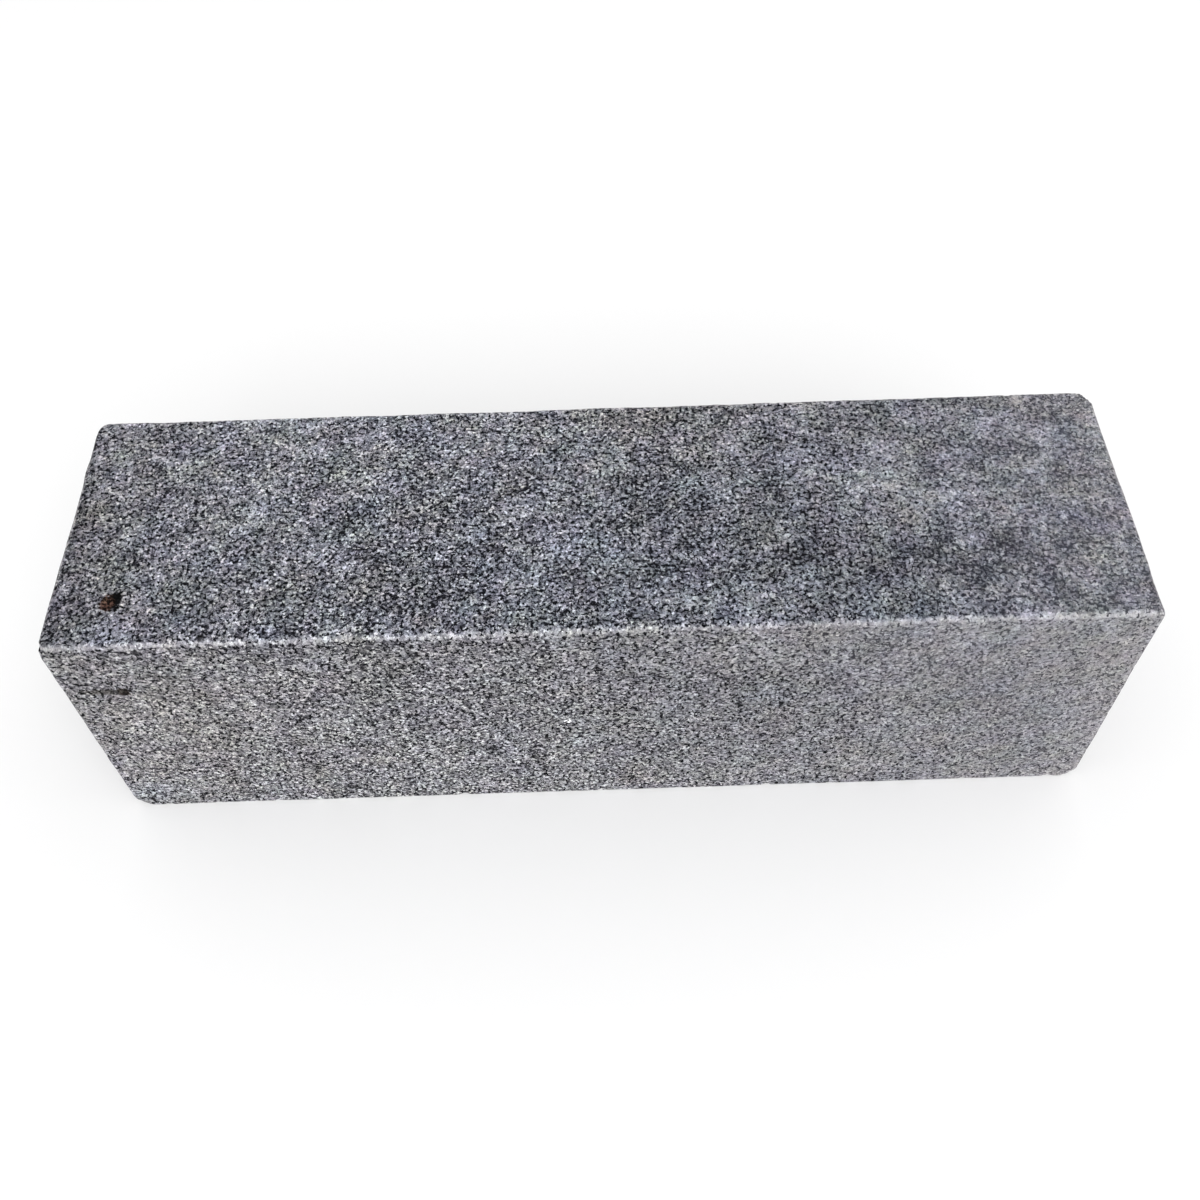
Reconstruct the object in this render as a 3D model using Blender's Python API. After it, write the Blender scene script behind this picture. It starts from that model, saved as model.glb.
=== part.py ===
"""A natural-stone bench whetstone: one sawn block of speckled grey stone.

Metres, +Z up. X runs along the block, Y from the front side to the back, and the
origin is the middle of the underside. The block is a single piece with no joints:
six sawn flats that meet at twelve worn arrises, each rubbed down by its own amount.
"""

import bmesh
import bpy

MM = 0.001

# The sawn block.
LENGTH = 200 * MM
WIDTH = 55 * MM
HEIGHT = 60 * MM

# How far each arris is worn back from the sharp corner, named by the two flats it joins.
ARRIS_WEAR = {
    ("top", "front"): 1.1 * MM,
    ("top", "back"): 1.0 * MM,
    ("top", "left"): 2.2 * MM,
    ("top", "right"): 1.4 * MM,
    ("base", "front"): 1.0 * MM,
    ("base", "back"): 1.0 * MM,
    ("base", "left"): 2.4 * MM,
    ("base", "right"): 1.8 * MM,
    ("front", "left"): 1.8 * MM,
    ("front", "right"): 1.2 * MM,
    ("back", "left"): 3.4 * MM,
    ("back", "right"): 2.6 * MM,
}
ARRIS_SEGMENTS = 4

# The outward direction of each sawn flat.
FLATS = {
    "left": (-1, 0, 0),
    "right": (1, 0, 0),
    "front": (0, -1, 0),
    "back": (0, 1, 0),
    "base": (0, 0, -1),
    "top": (0, 0, 1),
}

STONE_GREY = (0.20, 0.205, 0.22, 1.0)
STONE_ROUGHNESS = 0.78


def clear_scene():
    """Remove whatever objects the file opened with."""
    for item in list(bpy.data.objects):
        bpy.data.objects.remove(item, do_unlink=True)


def stone_material():
    """Matte speckled grey stone, as one average colour."""
    material = bpy.data.materials.new("speckled_grey_stone")
    material.use_nodes = True
    shader = material.node_tree.nodes["Principled BSDF"]
    shader.inputs["Base Color"].default_value = STONE_GREY
    shader.inputs["Roughness"].default_value = STONE_ROUGHNESS
    shader.inputs["Metallic"].default_value = 0.0
    return material


def sawn_block(bm):
    """The block as the saw leaves it: sharp, six flats, standing on z = 0."""
    bmesh.ops.create_cube(bm, size=1.0)
    bmesh.ops.scale(bm, vec=(LENGTH, WIDTH, HEIGHT), verts=bm.verts)
    bmesh.ops.translate(bm, vec=(0, 0, HEIGHT / 2), verts=bm.verts)


def flat_name(face):
    """The name of the flat that a face of the sharp block lies in."""
    face.normal_update()
    return max(FLATS, key=lambda name: face.normal.dot(FLATS[name]))


def mark_wear(bm):
    """Store each arris's share of the largest wear, which the Bevel modifier reads."""
    weight = bm.edges.layers.float.new("bevel_weight_edge")
    largest = max(ARRIS_WEAR.values())
    for edge in bm.edges:
        joined = {flat_name(face) for face in edge.link_faces}
        wear = next(w for pair, w in ARRIS_WEAR.items() if set(pair) == joined)
        edge[weight] = wear / largest
    return largest


def whetstone_block():
    """The whole whetstone: the sawn block with its worn arrises."""
    mesh = bpy.data.meshes.new("whetstone_block")
    bm = bmesh.new()
    sawn_block(bm)
    largest = mark_wear(bm)
    bm.to_mesh(mesh)
    bm.free()

    block = bpy.data.objects.new("whetstone_block", mesh)
    bpy.context.scene.collection.objects.link(block)
    mesh.materials.append(stone_material())

    worn = block.modifiers.new("worn_arrises", "BEVEL")
    worn.limit_method = "WEIGHT"
    worn.offset_type = "OFFSET"
    worn.width = largest
    worn.segments = ARRIS_SEGMENTS
    worn.use_clamp_overlap = True
    return block


clear_scene()
whetstone_block()
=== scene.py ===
"""The looks of a natural-stone bench whetstone: one sawn block of fine speckled grey stone.

The block's skin is six welded grids carried over its worn arrises, chips and shallow saw waves, and
its mineral grain, stains and bruised edges come from one procedural stone material.
"""
import math

import bpy
import numpy as np
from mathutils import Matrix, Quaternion, Vector


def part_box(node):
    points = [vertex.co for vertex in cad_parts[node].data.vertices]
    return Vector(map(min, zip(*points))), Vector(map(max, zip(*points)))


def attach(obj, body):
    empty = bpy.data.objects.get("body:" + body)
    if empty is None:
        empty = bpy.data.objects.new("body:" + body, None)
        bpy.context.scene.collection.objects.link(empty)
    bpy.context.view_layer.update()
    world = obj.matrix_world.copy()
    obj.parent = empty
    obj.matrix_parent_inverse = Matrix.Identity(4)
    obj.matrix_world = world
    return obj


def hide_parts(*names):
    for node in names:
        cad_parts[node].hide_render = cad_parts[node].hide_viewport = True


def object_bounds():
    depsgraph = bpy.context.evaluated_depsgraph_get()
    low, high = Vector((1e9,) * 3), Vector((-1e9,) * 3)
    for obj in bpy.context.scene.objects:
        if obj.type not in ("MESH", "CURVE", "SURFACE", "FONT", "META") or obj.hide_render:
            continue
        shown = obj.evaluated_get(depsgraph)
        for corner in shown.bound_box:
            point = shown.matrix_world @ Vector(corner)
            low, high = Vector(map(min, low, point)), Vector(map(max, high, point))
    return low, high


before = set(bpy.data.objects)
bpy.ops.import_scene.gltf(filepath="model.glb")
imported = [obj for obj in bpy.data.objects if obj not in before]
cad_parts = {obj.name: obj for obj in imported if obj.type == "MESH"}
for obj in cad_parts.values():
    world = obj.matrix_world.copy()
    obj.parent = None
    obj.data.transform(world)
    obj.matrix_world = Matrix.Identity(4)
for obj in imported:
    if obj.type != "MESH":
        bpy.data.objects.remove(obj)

cad_low, cad_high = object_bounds()


# --- The stone -----------------------------------------------------------------------------------
# One block of natural stone, sawn square from the slab and rubbed flat: a fine salt-and-pepper mix
# of black mica, grey quartz and pale feldspar. Its upper side, the honing face, has a painted shade
# that makes it darker than the front, and its arrises are bruised white and rounded by knocks.

# Lengths are in millimetres from the middle of the block, unless they say otherwise.
MM = 0.001

stone_low, stone_high = (np.array(corner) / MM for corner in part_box("whetstone_block"))
stone_centre = (stone_low + stone_high) / 2
stone_half = (stone_high - stone_low) / 2
stone_chance = np.random.default_rng(7)

# The rusty grain of iron ore in the honing face, near its left front corner.
RUST_PLACE = (-88.6, -17.6)
RUST_RADIUS = 1.3

# The grid of the skin: the step between lines along each axis, and the finer step that it comes down
# to within about the given reach of an arris.
LINE_STEP = (0.56, 1.25, 1.25)
FINE_STEP = 0.34
FINE_REACH = 2.6


def crowded_lines(low, high, step, fine_step, fine_places):
    """Numbers from low to high, about `step` apart, and down to `fine_step` apart near each fine place.

    The number of lines per millimetre is a base level plus a bell-shaped hump at each place. The lines
    stand where the running total of that density passes whole numbers.
    """
    along = np.linspace(low, high, 4001)
    density = np.full_like(along, 1 / step)
    for middle, reach in fine_places:
        hump = (1 / fine_step - 1 / step) * np.exp(-(((along - middle) / reach) ** 2))
        density = np.maximum(density, 1 / step + hump)
    total = np.concatenate([[0], np.cumsum((density[1:] + density[:-1]) / 2 * np.diff(along))])
    return np.interp(np.linspace(0, total[-1], int(round(total[-1])) + 1), total, along)


def block_skin(xs, ys, zs):
    """The outside of a block as six grids welded along its arrises.

    Each side is a grid of two of the three families of lines. A point is named by its three line
    numbers, so the points that two or three sides share get one name and are one vertex.
    """
    counts = (len(xs), len(ys), len(zs))
    sides = []
    for axis in range(3):
        first, second = [other for other in range(3) if other != axis]
        for end in (0, counts[axis] - 1):
            line_numbers = [np.full((counts[first], counts[second]), end)] * 3
            line_numbers[first], line_numbers[second] = np.indices((counts[first], counts[second]))
            name = np.ravel_multi_index(line_numbers, counts)
            quads = np.stack([name[:-1, :-1], name[1:, :-1], name[1:, 1:], name[:-1, 1:]], -1)
            faces_out = (end > 0) != (axis == 1)
            sides.append(quads.reshape(-1, 4) if faces_out else quads.reshape(-1, 4)[:, ::-1])
    names, quads = np.unique(np.concatenate(sides), return_inverse=True)
    i, j, k = np.unravel_index(names, counts)
    return np.stack([xs[i], ys[j], zs[k]], -1), quads.reshape(-1, 4)


stone_lines = []
for axis, half in enumerate(stone_half):
    fine_places = [(-half, FINE_REACH), (half, FINE_REACH)]
    if axis < 2:
        fine_places.append((RUST_PLACE[axis], RUST_RADIUS))
    stone_lines.append(crowded_lines(-half, half, LINE_STEP[axis], FINE_STEP, fine_places))
sharp, stone_quads = block_skin(*stone_lines)

# How far each point is from the nearest arris, along its own side.
arris_gap = np.sort(stone_half - np.abs(sharp), axis=1)[:, 1]

# Each arris: how far in from the sharp edge it is worn, and how white it is bruised.
ARRISES = {
    ("top", "front"): (1.1, 1.0),
    ("top", "back"): (0.8, 0.5),
    ("top", "left"): (1.7, 0.3),
    ("top", "right"): (1.0, 0.3),
    ("base", "front"): (0.4, 0.2),
    ("base", "back"): (1.0, 0.3),
    ("base", "left"): (2.0, 0.3),
    ("base", "right"): (1.5, 0.3),
    ("front", "left"): (0.9, 0.3),
    ("front", "right"): (0.4, 0.3),
    ("back", "left"): (2.0, 0.3),
    ("back", "right"): (1.5, 0.3),
}
# Each side's axis, and which end of that axis it is.
SIDES = {"left": (0, -1), "right": (0, 1), "front": (1, -1), "back": (1, 1), "base": (2, -1), "top": (2, 1)}
# A section through an arris is this power's curve: 2 is a round, 1 is a chamfer.
ARRIS_POWER = 1.6

# Waves are given as the shortest and the longest wavelength and how many are summed. The wear swells
# along an arris by these shares of itself.
WEAR_SWELLS = [(0.13, (14, 60, 24)), (0.07, (3, 9, 30))]
WEAR_LIMITS = (0.6, 1.4)
# The waves that the saw left in the flats, the low grain of the rubbed surface, and the rough breaks.
SAW_DEPTH, SAW_WAVES = 0.035, (12, 45, 30)
RUBBED_DEPTH, RUBBED_WAVES = 0.022, (1.1, 2.6, 120)
BREAK_DEPTH, BREAK_WAVES = 0.12, (1.2, 4, 60)


def ripples(points, shortest, longest, count):
    """A random smooth field of about unit size: the sum of `count` plane waves, each with its own
    random direction and phase and a wavelength between shortest and longest millimetres."""
    directions = stone_chance.normal(size=(count, 3))
    directions /= np.linalg.norm(directions, axis=1, keepdims=True)
    wavelengths = np.exp(stone_chance.uniform(math.log(shortest), math.log(longest), count))
    phases = stone_chance.uniform(0, 2 * math.pi, count)
    waves = directions * (2 * math.pi / wavelengths[:, None])
    return np.sin(points @ waves.T + phases).sum(1) * math.sqrt(2 / count)


def arris_means(points):
    """The wear and the bruising at each point: the means over the twelve arrises, each weighted by one
    over the fourth power of its distance."""
    total = np.zeros((2, len(points)))
    weight = np.zeros(len(points))
    for sides, wear_and_bruise in ARRISES.items():
        gaps = [points[:, axis] - sign * stone_half[axis] for axis, sign in (SIDES[side] for side in sides)]
        near = 1 / (gaps[0] ** 2 + gaps[1] ** 2 + 0.5) ** 2
        total += near * np.array(wear_and_bruise)[:, None]
        weight += near
    return total / weight


def worn(points, radius):
    """Rounds the arrises. Each point is measured from the nearest point of the block shrunk by the
    radius, and set where |a|^n + |b|^n + |c|^n = radius^n, with n the arris power. Also gives the way
    into the stone at each point."""
    core = np.clip(points, radius[:, None] - stone_half, stone_half - radius[:, None])
    away = points - core
    length = (np.abs(away) ** ARRIS_POWER).sum(1) ** (1 / ARRIS_POWER)
    inward = -away / np.linalg.norm(away, axis=1, keepdims=True)
    return core + away * (radius / length)[:, None], inward


def knocked_off(points, outward, depth, roughness):
    """Cuts a corner by a plane square to `outward`, `depth` millimetres in from the sharp corner. A
    point beyond the plane drops onto it, and the plane is rough by the given field."""
    outward = np.array(outward, float) / np.linalg.norm(outward)
    reach = np.abs(outward) @ stone_half - depth
    beyond = np.maximum(points @ outward - reach + roughness, 0)
    return points - beyond[:, None] * outward


def scooped(points, centre, radius):
    """Presses a ball into the stone: every point inside the ball is pushed out to the ball's surface."""
    away = points - centre
    distance = np.linalg.norm(away, axis=1)
    inside = distance < radius
    points = points.copy()
    points[inside] = centre + away[inside] * (radius / distance[inside])[:, None]
    return points


wear, bruise = arris_means(sharp)
wear_swell = sum(share * ripples(sharp, *waves) for share, waves in WEAR_SWELLS)
points, inward = worn(sharp, wear * np.clip(1 + wear_swell, *WEAR_LIMITS))
saw_dips = SAW_DEPTH * (1 + ripples(points, *SAW_WAVES) / 3)
rubbed_dips = RUBBED_DEPTH * (1 + ripples(points, *RUBBED_WAVES) / 3)
points = points + inward * np.maximum(saw_dips + rubbed_dips, 0)[:, None]

# Corners that have been knocked off, by the direction they face and their depth.
KNOCKED_CORNERS = [
    ((0.72, 0.65, 0.26), 2.3),
    ((-0.83, 0.52, 0.18), 2.0),
    ((-0.75, -0.35, 0.4), 1.5),
    ((-0.66, -0.3, -0.66), 2.6),
    ((0.6, -0.4, 0.65), 0.8),
    ((0.7, -0.3, -0.6), 2.0),
    ((-0.6, 0.5, -0.6), 2.6),
]
crumble = BREAK_DEPTH * ripples(points, *BREAK_WAVES)
for outward, depth in KNOCKED_CORNERS:
    points = knocked_off(points, outward, depth, crumble)

# Small chips along the arrises: how many on each arris along X, Y and Z, and the balls that bite them
# out. Most balls are near the least radius, and each bites in by a share of its own radius.
CHIP_COUNTS = (34, 10, 10)
CHIP_RADIUS = 0.4
CHIP_EXTRA_RADIUS = 1.1
CHIP_BITE = (0.1, 0.32)
CHIP_LEAN = (0.15, 0.85)
CHIP_ENDS = 0.97
# A line this far in from both sides of the arris, and the distance from it out to the worn stone.
CHIP_LINE = 0.6
CHIP_STAND = 0.45


def chip_ball(axis, along, corner):
    """One chip's ball: its centre stands out from the line inside the arris by its radius, less its
    bite, at a lean of its own between the two sides. `corner` is the arris's two signs."""
    radius = CHIP_RADIUS + CHIP_EXTRA_RADIUS * stone_chance.random() ** 4
    bite = radius * stone_chance.uniform(*CHIP_BITE)
    lean = stone_chance.uniform(*CHIP_LEAN) * math.pi / 2
    stand = radius + CHIP_STAND - bite
    across = [other for other in range(3) if other != axis]
    centre = np.empty(3)
    centre[axis] = along * stone_half[axis]
    leaning = np.array([math.sin(lean), math.cos(lean)])
    centre[across] = corner * (stone_half[across] - CHIP_LINE + stand * leaning)
    return centre, radius


for axis, count in enumerate(CHIP_COUNTS):
    for corner in np.array([(-1, -1), (-1, 1), (1, -1), (1, 1)]):
        for along in stone_chance.uniform(-CHIP_ENDS, CHIP_ENDS, count):
            points = scooped(points, *chip_ball(axis, along, corner))

# The hollow where part of the rusty grain has fallen out: a ball pressed in a little to its right.
HOLLOW_RADIUS = 1.5
HOLLOW_DEPTH = 0.55
HOLLOW_SHIFT = 0.6
hollow_height = stone_half[2] + HOLLOW_RADIUS - HOLLOW_DEPTH
rust_hollow = np.array([RUST_PLACE[0] + HOLLOW_SHIFT, RUST_PLACE[1], hollow_height])
points = scooped(points, rust_hollow, HOLLOW_RADIUS)

stone_mesh = bpy.data.meshes.new("whetstone_stone")
stone_mesh.from_pydata(((points + stone_centre) * MM).tolist(), [], stone_quads.tolist())
stone_mesh.validate()
stone_mesh.shade_smooth()
whetstone = bpy.data.objects.new("whetstone_stone", stone_mesh)
bpy.context.collection.objects.link(whetstone)

# Pale clouds and dark patches on the honing face and the front side: where, how wide, how strong.
# Places and widths are measured along that side, from its middle. The last honing patch is painted
# shade along the worn arris at the left end.
HONING_CLOUDS_AND_PAINTED_SHADE = [
    ((0, 34), (150, 28), 0.05),
    ((53, 6), (9, 6), 0.11),
    ((66, 1), (7, 6), 0.08),
    ((99, 6), (13, 40), 0.05),
    ((-68, 5), (14, 12), 0.035),
    ((-62, 22), (12, 7), 0.03),
    ((-28, 21), (9, 7), -0.03),
    ((-52, -17), (6, 8), 0.045),
    ((-14, -14), (3, 7), 0.05),
    ((-8, 2), (3, 9), 0.05),
    ((-4, 17), (3, 7), 0.07),
    ((30, 21), (7, 6), 0.03),
    ((62, 21), (8, 5), -0.04),
    ((48, -13), (24, 8), -0.065),
    ((22, -5), (8, 7), -0.045),
    ((67, -13), (6, 4), -0.03),
    ((-30, -18), (36, 7), -0.03),
    ((10, 12), (11, 16), -0.05),
    ((-66, -14), (24, 9), 0.025),
    ((30, -22), (6, 6), 0.035),
    ((72, -23), (7, 5), 0.03),
    # Painted shade: a dark strip along the worn arris at the honing face's left end.
    ((-98.6, 0), (1.3, 40), -0.06),
]
FRONT_CLOUDS = [
    ((0, -36), (200, 22), 0.055),
    ((101, 4), (15, 60), 0.065),
    ((-92, -3), (12, 14), 0.04),
    ((-36, 29), (50, 5), -0.04),
    ((31, 26), (5, 4), 0.045),
    ((32, 6), (13, 5), -0.035),
    ((-30, 5), (25, 6), -0.015),
    ((70, 24), (30, 8), 0.035),
    ((-72, 6), (22, 12), 0.03),
    ((58, -8), (14, 8), 0.03),
    ((-64, 28.2), (30, 0.9), -0.06),
]
# Warmer (above nought) and bluer (below nought) patches of the same two sides.
HONING_WARMTH = [
    ((-101, 2), (22, 45), 0.028),
    ((101, 6), (24, 45), 0.028),
    ((8, 22), (9, 15), 0.032),
    ((34, 24), (30, 7), 0.016),
    ((-4, -12), (22, 13), -0.030),
    ((46, -25), (30, 6), -0.030),
]
FRONT_WARMTH = [
    ((-84, 3), (24, 26), 0.028),
    ((102, 4), (10, 40), 0.022),
    ((30, 6), (34, 22), -0.008),
    ((-97, -26), (7, 5), -0.040),
]

# How far the grain stands out: its least, and what a bell-shaped hump left of the middle adds to it.
LEAST_CRISPNESS = 0.52
ADDED_CRISPNESS = 0.77
CRISPEST_PLACE = -35
CRISP_WIDTH = 86
# On the front side it fades towards the top by the first share, and towards the right by the second.
FRONT_FADE_UP = 0.2
FRONT_FADE_RIGHT = 0.09
FRONT_FADE_WIDTH = 30

# How strongly the crystals gather in clusters: all over, and what the honing face adds at its crispest
# place and at its right end.
CLUSTERING = 0.40
HONED_CLUSTERING = 0.41
RIGHT_CLUSTERING = 0.30

# The bruising is fainter by this share, about this place, just right of the middle.
BRUISE_GAP = 0.35
BRUISE_GAP_PLACE = 18
BRUISE_GAP_WIDTH = 26
# The honing face's wear, and the painted shade on it, start over this width from its arrises.
HONED_MARGIN = 1.2


def patches(first, second, patch_list):
    """The sum of bell-shaped patches on a flat side, each with its own two widths and strength."""
    total = np.zeros(len(first))
    for (place_a, place_b), (wide_a, wide_b), strength in patch_list:
        spread = ((first - place_a) / wide_a) ** 2 + ((second - place_b) / wide_b) ** 2
        total += strength * np.exp(-spread)
    return total


def keep_on_stone(name, values):
    """Stores one number per vertex on the stone's mesh, for its material to read."""
    layer = stone_mesh.attributes.new(name, "FLOAT", "POINT")
    layer.data.foreach_set("value", np.asarray(values, np.float32))


sharp_x, sharp_y, sharp_z = sharp.T
on_top = (sharp_z >= stone_half[2] - 1e-6).astype(float)
on_front = (sharp_y <= -stone_half[1] + 1e-6).astype(float)
only_front = (1 - on_top) * on_front
honed_part = on_top * np.clip(arris_gap / HONED_MARGIN, 0, 1)

cloud_and_painted_shade = on_top * patches(sharp_x, sharp_y, HONING_CLOUDS_AND_PAINTED_SHADE)
cloud_and_painted_shade += only_front * patches(sharp_x, sharp_z, FRONT_CLOUDS)
warm = on_top * patches(sharp_x, sharp_y, HONING_WARMTH)
warm += only_front * patches(sharp_x, sharp_z, FRONT_WARMTH)
crisp = LEAST_CRISPNESS + ADDED_CRISPNESS * np.exp(-(((sharp_x - CRISPEST_PLACE) / CRISP_WIDTH) ** 2))
fade_up = FRONT_FADE_UP * sharp_z / stone_half[2]
fade_right = FRONT_FADE_RIGHT * np.tanh(sharp_x / FRONT_FADE_WIDTH)
crisp *= 1 - only_front * (fade_up + fade_right)
rightward = 1 - np.exp(-((np.maximum(sharp_x - CRISPEST_PLACE, 0) / CRISP_WIDTH) ** 2))
bruise_gap = BRUISE_GAP * np.exp(-(((sharp_x - BRUISE_GAP_PLACE) / BRUISE_GAP_WIDTH) ** 2))

keep_on_stone("cloud_and_painted_shade", cloud_and_painted_shade)
keep_on_stone("warmth", warm)
keep_on_stone("crispness", crisp)
keep_on_stone("arris_gap", arris_gap)
keep_on_stone("bruise", bruise * (1 - bruise_gap))
keep_on_stone("honed", honed_part)
keep_on_stone("clustering", CLUSTERING + honed_part * (HONED_CLUSTERING + RIGHT_CLUSTERING * rightward))

stone = bpy.data.materials.new("speckled_grey_stone")
stone.use_nodes = True
stone_tree = stone.node_tree
stone_tree.nodes.clear()


def put(kind, *sources, **settings):
    """Adds a node of that kind to the stone's material, sets its settings, and feeds its inputs in order:
    a source is another node's output, a plain value, or None to leave that input alone."""
    node = stone_tree.nodes.new("ShaderNode" + kind)
    for name, value in settings.items():
        setattr(node, name, value)
    sockets = [socket for socket in node.inputs if socket.enabled]
    for socket, source in zip(sockets, sources):
        if isinstance(source, bpy.types.NodeSocket):
            stone_tree.links.new(source, socket)
        elif source is not None:
            socket.default_value = source
    return node


def kept(name):
    """Reads a number that was stored on the mesh."""
    return put("Attribute", attribute_name=name).outputs["Fac"]


def maths(operation, *sources):
    """One step of arithmetic on numbers."""
    return put("Math", *sources, operation=operation).outputs[0]


def vector_maths(operation, *sources):
    """One step of arithmetic on vectors or colours."""
    return put("VectorMath", *sources, operation=operation).outputs[0]


def noise(where, per_mm, octaves, keep):
    """Smooth random numbers between 0 and 1, about one swell per 1 / per_mm millimetres, with finer
    octaves that each keep that share of the one before."""
    return put("TexNoise", where, per_mm, octaves, keep).outputs[0]


def colour_noise(where, per_mm, octaves, keep):
    """Three independent fields of smooth random numbers, less a half, so that they are about nought."""
    field = put("TexNoise", where, per_mm, octaves, keep).outputs["Color"]
    return vector_maths("SUBTRACT", field, (0.5, 0.5, 0.5))


def span(source, low, high, low_out, high_out):
    """Maps low..high onto low_out..high_out, and holds the ends."""
    return put("MapRange", source, low, high, low_out, high_out).outputs[0]


def ramp(source, *stops):
    """A colour or grey for each number from 0 to 1, blended between the stops."""
    node = put("ValToRGB", source)
    stop_points = node.color_ramp.elements
    while len(stop_points) < len(stops):
        stop_points.new(0.5)
    for point, (position, colour) in zip(stop_points, stops):
        point.position = position
        point.color = (*colour, 1) if isinstance(colour, tuple) else (colour, colour, colour, 1)
    return node.outputs[0]


# Everything in the stone is placed in millimetres, and the crystals' places are stirred a little so
# that their outlines are ragged.
STIRS_PER_MM = 3.0
STIR_REACH = 0.7
place = vector_maths("MULTIPLY", put("TexCoord").outputs["Object"], (1 / MM, 1 / MM, 1 / MM))
stir = colour_noise(place, STIRS_PER_MM, 2.0, 0.6)
stirred = vector_maths("MULTIPLY_ADD", stir, (STIR_REACH, STIR_REACH, STIR_REACH), place)

# The crystals: cells of under half a millimetre, each with a tone of its own by its mineral.
CRYSTALS_PER_MM = 2.15
crystal = put("TexVoronoi", stirred, CRYSTALS_PER_MM).outputs["Color"]
mineral = put("SeparateColor", crystal).outputs[0]
mineral_tone = ramp(mineral, (0.0, 0.16), (0.2, 0.40), (0.6, 0.55), (0.85, 0.67), (1.0, 0.81))
mineral_tone = put("SeparateColor", mineral_tone).outputs[0]

# The bruised line along an arris: its ragged inner edge wanders by about half of the first number,
# and it fades out between the next two distances from the arris.
BRUISE_WANDER = 1.3
WANDERS_PER_MM = 0.9
BRUISE_FULL = 0.65
BRUISE_END = 1.15
wander = maths("SUBTRACT", noise(place, WANDERS_PER_MM, 3.0, 0.6), 0.5)
ragged_gap = maths("MULTIPLY_ADD", wander, BRUISE_WANDER, kept("arris_gap"))
bruised = maths("MULTIPLY", span(ragged_gap, BRUISE_FULL, BRUISE_END, 1.0, 0.0), kept("bruise"))

# Larger swells of tone: crystals gather in clusters of every size over a few millimetres, the stone is
# clouded, a painted shade darkens the worn left arris of the honing face, the honing face has a
# painted shade that makes it darker than the front, and the bruised crystals are white.
CLUSTERS_PER_MM = 0.16
TOP_PAINTED_SHADE = -0.055
BRUISED_TONE = 0.178
honed = kept("honed")
cluster = maths("SUBTRACT", noise(place, CLUSTERS_PER_MM, 5.0, 0.85), 0.5)
swell = maths("MULTIPLY_ADD", cluster, kept("clustering"), kept("cloud_and_painted_shade"))
# Painted shade: the honing face is made darker than the front here.
swell = maths("MULTIPLY_ADD", honed, TOP_PAINTED_SHADE, swell)
swell = maths("MULTIPLY_ADD", bruised, BRUISED_TONE, swell)

# Black mica lies between the crystals in ragged flakes, more of it in the dark swells. The grain is
# fainter where it is bruised, and the mica is paler the fainter the grain.
MICA_PER_MM = 1.467
MICA_EDGE = (0.421, 0.433)
MICA_GATHERING = 0.25
BRUISED_CRISPNESS = 0.75
MICA_CRISPNESS = (0.6, 0.86)
MICA_TONES = (0.27, 0.02)
mica_field = noise(stirred, MICA_PER_MM, 2.0, 0.5)
mica = span(maths("MULTIPLY_ADD", swell, MICA_GATHERING, mica_field), *MICA_EDGE, 1.0, 0.0)
crispness = maths("MULTIPLY", kept("crispness"), span(bruised, 0.0, 1.0, 1.0, BRUISED_CRISPNESS))
mica_tone = span(crispness, *MICA_CRISPNESS, *MICA_TONES)

# The tone of each spot: its mineral's tone and a finer speckle, drawn away from the middle tone by the
# crispness, and shifted by the swells.
SPECKLES_PER_MM = 3.2
SPECKLE_STRENGTH = 0.9
CRYSTAL_MIDDLE = 0.53
STONE_MIDDLE = 0.525
SWELL_STRENGTH = 0.7
fine = noise(stirred, SPECKLES_PER_MM, 2.0, 0.6)
tone = maths("MULTIPLY_ADD", maths("SUBTRACT", fine, 0.5), SPECKLE_STRENGTH, mineral_tone)
tone = maths("MULTIPLY_ADD", maths("SUBTRACT", tone, CRYSTAL_MIDDLE), crispness, STONE_MIDDLE)
tone = maths("MULTIPLY_ADD", swell, SWELL_STRENGTH, tone)
tone = put("Mix", mica, tone, mica_tone).outputs[0]

stone_colour = ramp(
    tone,
    (0.0, (0.004, 0.004, 0.005)),
    (0.1, (0.010, 0.010, 0.013)),
    (0.2, (0.031, 0.031, 0.038)),
    (0.3, (0.069, 0.070, 0.080)),
    (0.4, (0.126, 0.127, 0.140)),
    (0.6, (0.305, 0.306, 0.331)),
    (0.8, (0.585, 0.586, 0.625)),
    (1.0, (0.915, 0.920, 0.970)),
)

# Hue, as shares of red, green and blue: the mottles lean a little to warm or to blue, and the dark
# grains to blue and purple. Each has a value for the sawn sides and one for the honing face, which
# leans more, and to blue as a whole.
HUES_PER_MM = 0.1
HUE_SWINGS = ((0.29, 0.22, 0.50, 1), (0.54, 0.26, 0.82, 1))
HUE_MIDDLES = ((1.015, 1.0, 0.99, 1), (0.98, 0.998, 1.04, 1))
HUES_BY_TONE = ((0.01, 0.07, -0.05, 1), (0.12, 0.11, -0.26, 1))
HUE_MIDDLE_TONE = 0.55
hue_swing, hue_middle, hue_by_tone = (
    put("MixRGB", honed, *pair).outputs[0] for pair in (HUE_SWINGS, HUE_MIDDLES, HUES_BY_TONE)
)
hue = vector_maths("MULTIPLY_ADD", colour_noise(place, HUES_PER_MM, 7.0, 0.87), hue_swing, hue_middle)
hue = vector_maths("MULTIPLY_ADD", kept("warmth"), (1.0, 0.0, -1.0), hue)
hue = vector_maths("MULTIPLY_ADD", maths("SUBTRACT", tone, HUE_MIDDLE_TONE), hue_by_tone, hue)
stone_colour = vector_maths("MULTIPLY", stone_colour, hue)
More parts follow.
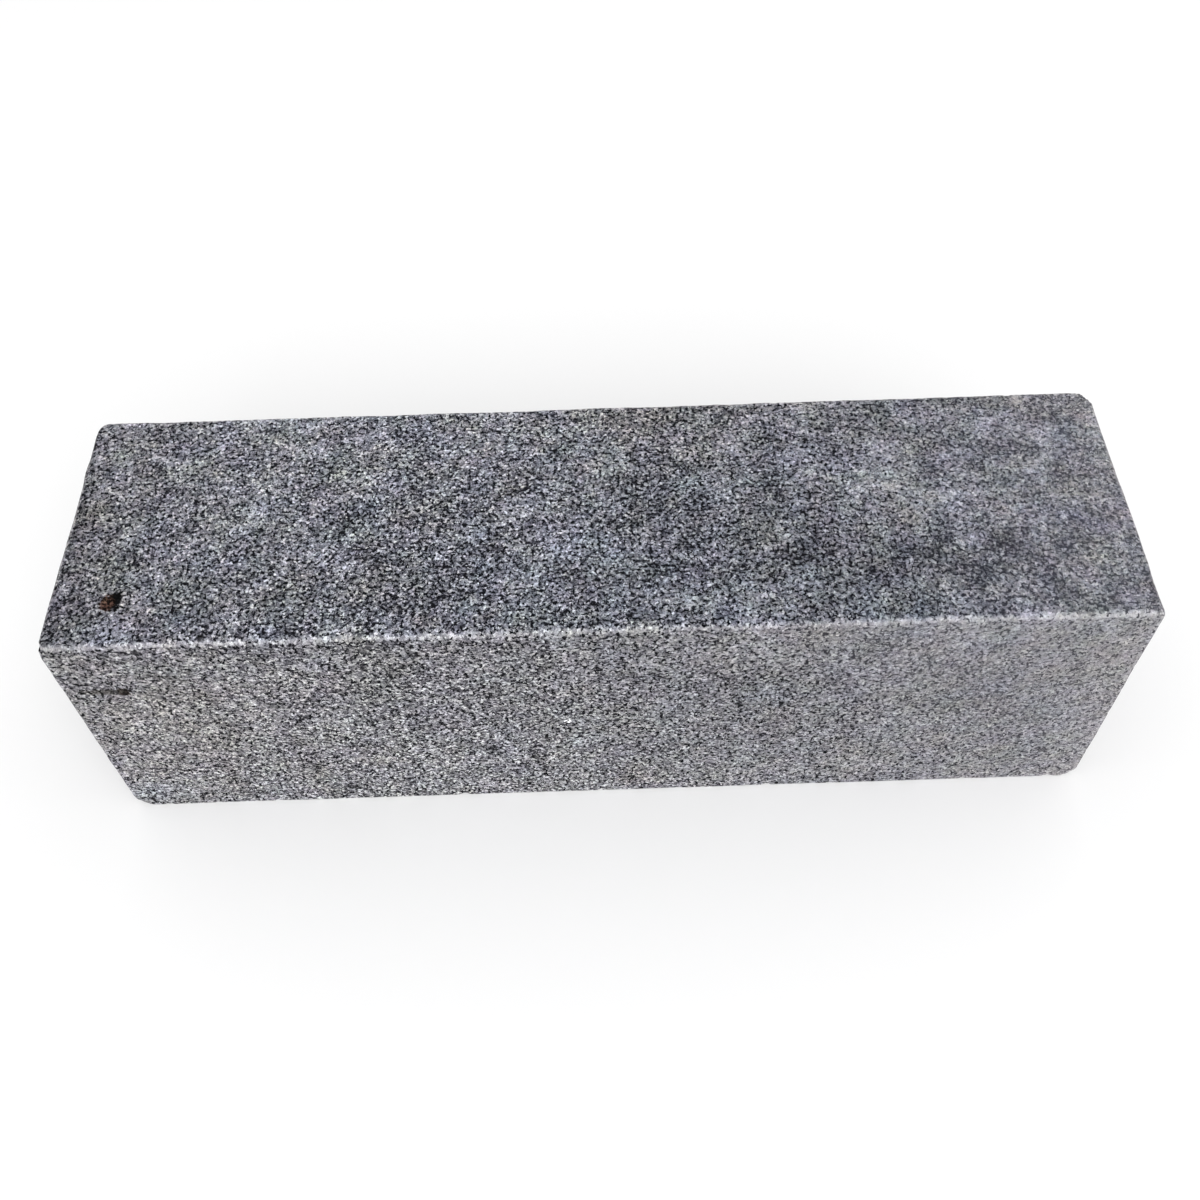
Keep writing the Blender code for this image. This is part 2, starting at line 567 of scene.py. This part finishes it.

# Odd grains in the stone: where, its three radii, its colour, and how much of it shows. The first
# three make the rusty grain: a black patch on its right, which is a painted shadow in its hollow,
# then its brown core and a paler crumb.
ODD_GRAINS = [
    # A painted shadow: the black on the right of the rusty grain, where its hollow is.
    ((RUST_PLACE[0] + 0.9, RUST_PLACE[1] + 0.3, 30), (1.7, 2.5, 2), (0.0025, 0.0025, 0.003), 1.0),
    ((RUST_PLACE[0] - 0.4, RUST_PLACE[1] - 0.1, 30), (1.35, 2.1, 2), (0.042, 0.023, 0.018), 1.0),
    ((RUST_PLACE[0] - 0.6, RUST_PLACE[1] + 0.5, 30), (0.5, 0.7, 2), (0.115, 0.070, 0.050), 0.9),
    ((-88.6, -27.5, 15.3), (1.5, 2, 1.5), (0.022, 0.017, 0.015), 1.0),
    ((-92.6, -27.5, 15.4), (4.0, 2, 1.0), (0.052, 0.048, 0.043), 0.8),
    ((-82.4, -27.5, 28.0), (0.8, 2, 1.0), (0.008, 0.008, 0.010), 0.9),
    ((-62.3, -27.5, 8.8), (2.0, 2, 1.4), (0.026, 0.028, 0.030), 0.6),
    ((-57, -27.5, 4.2), (1.0, 2, 1.1), (0.02, 0.02, 0.024), 0.8),
    ((-52.9, -27.5, -24.4), (1.9, 2, 1.5), (0.035, 0.035, 0.04), 0.75),
    ((-70.6, -26.0, 30), (1.0, 0.8, 2), (0.005, 0.005, 0.006), 0.85),
    ((-6.8, -27.5, -0.5), (0.8, 2, 0.7), (0.62, 0.62, 0.64), 0.8),
]
ODD_WANDER = 1.9
ODD_FULL = 0.8
ODD_END = 1.1
odd_shade = span(tone, 0.3, 0.8, 0.1, 3.0)


def with_odd_grain(colour, grain_place, radii, grain_colour, shown):
    """Paints one odd grain over the colour: an ellipsoid, its reach measured in its own radii and made
    ragged by the mica's field, and its colour shaded by the tone of the crystals in it."""
    away = vector_maths("SUBTRACT", stirred, tuple(stone_centre + grain_place))
    away = vector_maths("MULTIPLY", away, tuple(1 / radius for radius in radii))
    reach = put("VectorMath", away, operation="LENGTH").outputs["Value"]
    ragged_reach = maths("MULTIPLY_ADD", maths("SUBTRACT", mica_field, 0.5), ODD_WANDER, reach)
    grain = vector_maths("MULTIPLY", odd_shade, grain_colour)
    return put("MixRGB", span(ragged_reach, ODD_FULL, ODD_END, shown, 0.0), colour, grain).outputs[0]


for odd_grain in ODD_GRAINS:
    stone_colour = with_odd_grain(stone_colour, *odd_grain)

# The surface: matt, its darkest mineral a little smoother than the rest, and pitted by the grain.
PIT_STRENGTH = 0.6
PIT_DEPTH = 0.08 * MM
FINE_PITTING = 0.5
SMOOTHEST = 0.75
ROUGHEST = 0.92
SHINE = 0.08
bump = put("Bump")
bump.inputs["Strength"].default_value = PIT_STRENGTH
bump.inputs["Distance"].default_value = PIT_DEPTH
stone_tree.links.new(maths("MULTIPLY_ADD", fine, FINE_PITTING, tone), bump.inputs["Height"])
shader = put("BsdfPrincipled")
stone_tree.links.new(stone_colour, shader.inputs["Base Color"])
stone_tree.links.new(span(mineral, 0.1, 0.3, SMOOTHEST, ROUGHEST), shader.inputs["Roughness"])
stone_tree.links.new(bump.outputs[0], shader.inputs["Normal"])
shader.inputs["Specular IOR Level"].default_value = SHINE
put("OutputMaterial", shader.outputs[0])

stone_mesh.materials.append(stone)
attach(whetstone, "root")
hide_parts("whetstone_block")


# --- The floor -----------------------------------------------------------------------------------
# A plain pale matt sheet, large enough to fill the view. It lies flat under the stone and isn't part
# of the object. Its side is in metres.

FLOOR_SIDE = 6.0
floor_mesh = bpy.data.meshes.new("floor")
floor_ends = (-FLOOR_SIDE / 2, FLOOR_SIDE / 2)
floor_corners = [(x, y, float(cad_low[2])) for y in floor_ends for x in floor_ends]
floor_mesh.from_pydata(floor_corners, [], [(0, 1, 3, 2)])
floor = bpy.data.objects.new("floor", floor_mesh)
bpy.context.collection.objects.link(floor)
floor_paint = bpy.data.materials.new("pale_floor")
floor_paint.use_nodes = True
floor_shader = floor_paint.node_tree.nodes["Principled BSDF"]
floor_shader.inputs["Base Color"].default_value = (0.95, 0.95, 0.95, 1)
floor_shader.inputs["Roughness"].default_value = 0.9
floor_shader.inputs["Specular IOR Level"].default_value = 0.1
floor_mesh.materials.append(floor_paint)


# --- Light and camera ----------------------------------------------------------------------------
# Soft studio light: an even pale surround and one large softbox above the front. The camera looks
# down on the stone from the front, with a slight tilt of the hand.

ROOM_LIGHT = 0.78
world = bpy.data.worlds.new("studio")
world.use_nodes = True
world.node_tree.nodes["Background"].inputs["Color"].default_value = (1.0, 1.0, 1.0, 1)
world.node_tree.nodes["Background"].inputs["Strength"].default_value = ROOM_LIGHT
bpy.context.scene.world = world
bpy.context.scene.view_settings.view_transform = "Standard"


def direction(azimuth, elevation):
    """The unit vector from the stone towards that azimuth, in degrees round from the front, and that
    elevation above the floor."""
    turn = math.radians(azimuth)
    rise = math.radians(elevation)
    return Vector((math.sin(turn) * math.cos(rise), -math.cos(turn) * math.cos(rise), math.sin(rise)))


# The softbox's side and its distance are in metres.
SOFTBOX_SIDE = 1.8
SOFTBOX_DISTANCE = 2.4
SOFTBOX_POWER = 31.0

softbox_back = direction(azimuth=12, elevation=50)
softbox = bpy.data.lights.new("key_softbox", "AREA")
softbox.shape = "SQUARE"
softbox.size = SOFTBOX_SIDE
softbox.energy = SOFTBOX_POWER
softbox_holder = bpy.data.objects.new("key_softbox", softbox)
softbox_holder.location = softbox_back * SOFTBOX_DISTANCE
softbox_holder.rotation_mode = "QUATERNION"
softbox_holder.rotation_quaternion = softbox_back.to_track_quat("Z", "Y")
bpy.context.collection.objects.link(softbox_holder)

EYE_DISTANCE = 267.3 * MM
EYE_TILT = -1.91
EYE_AIM = Vector((0.15, 1.16, 30.0)) * MM
LENS = 38.55
SENSOR = 36.0

camera_data = bpy.data.cameras.new("camera")
camera_data.lens = LENS
camera_data.sensor_width = SENSOR
camera_data.clip_start = 0.01
camera = bpy.data.objects.new("camera", camera_data)
camera_back = direction(azimuth=0.07, elevation=54.03)
camera.location = EYE_AIM + camera_back * EYE_DISTANCE
camera.rotation_mode = "QUATERNION"
hand_tilt = Quaternion((0, 0, 1), math.radians(EYE_TILT))
camera.rotation_quaternion = camera_back.to_track_quat("Z", "Y") @ hand_tilt
bpy.context.collection.objects.link(camera)
bpy.context.scene.camera = camera
